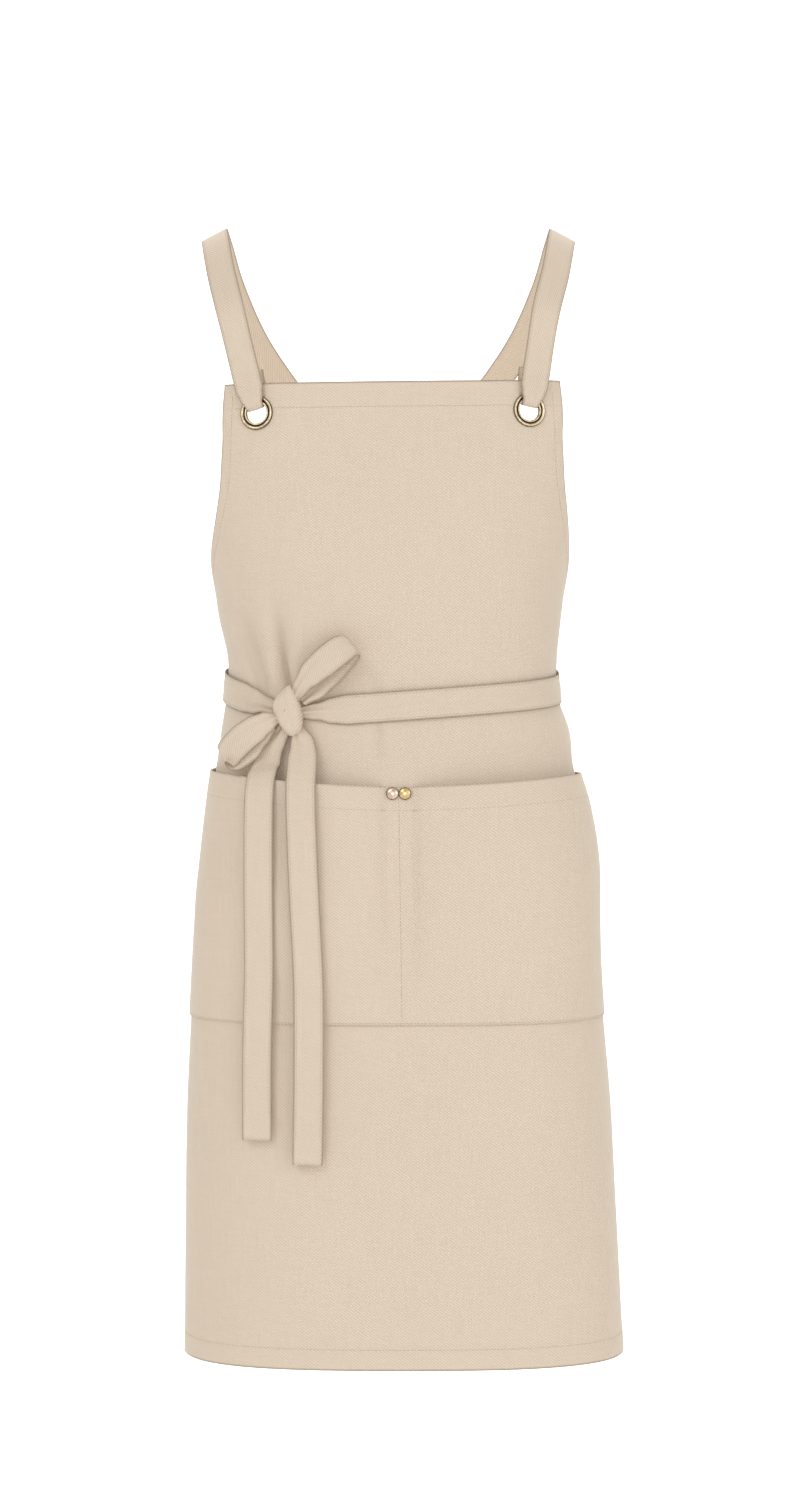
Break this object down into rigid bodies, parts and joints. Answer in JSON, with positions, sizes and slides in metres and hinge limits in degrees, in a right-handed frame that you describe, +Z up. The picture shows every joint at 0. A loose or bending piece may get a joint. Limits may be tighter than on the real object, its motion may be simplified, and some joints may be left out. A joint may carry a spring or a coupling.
{
  "type": "cross back apron",
  "caption": "Worn cotton twill bib apron with straps that cross behind the back, brass eyelets, a divided patch pocket and a bow tied at the side of the waist.",
  "frame": {"origin": "midway between the tops of the two shoulder straps, on the wearer's shoulder line", "axes": "+Z up, the apron's front faces -Y, +X to the viewer's right"},
  "size_m": [0.3882, 0.2547, 0.9909],
  "materials": {
    "twill": "woven twill",
    "brass": "antique"
  },
  "bodies": {
    "root": {"apron_body": "twill", "front_pocket": "twill", "shoulder_strap_left": "twill", "shoulder_strap_right": "twill", "waist_tie_left": "twill", "waist_tie_right": "twill", "bow_knot": "twill", "bow_loop_upper": "twill", "bow_loop_lower": "twill", "tie_tail_left": "twill", "tie_tail_right": "twill", "bib_eyelet_left": "brass", "bib_eyelet_right": "brass", "side_eyelet_left": "brass", "side_eyelet_right": "brass", "pocket_stud_left": "brass", "pocket_stud_right": "brass", "pocket_rivet_left": "brass", "pocket_rivet_right": "brass"}
  },
  "joints": []
}
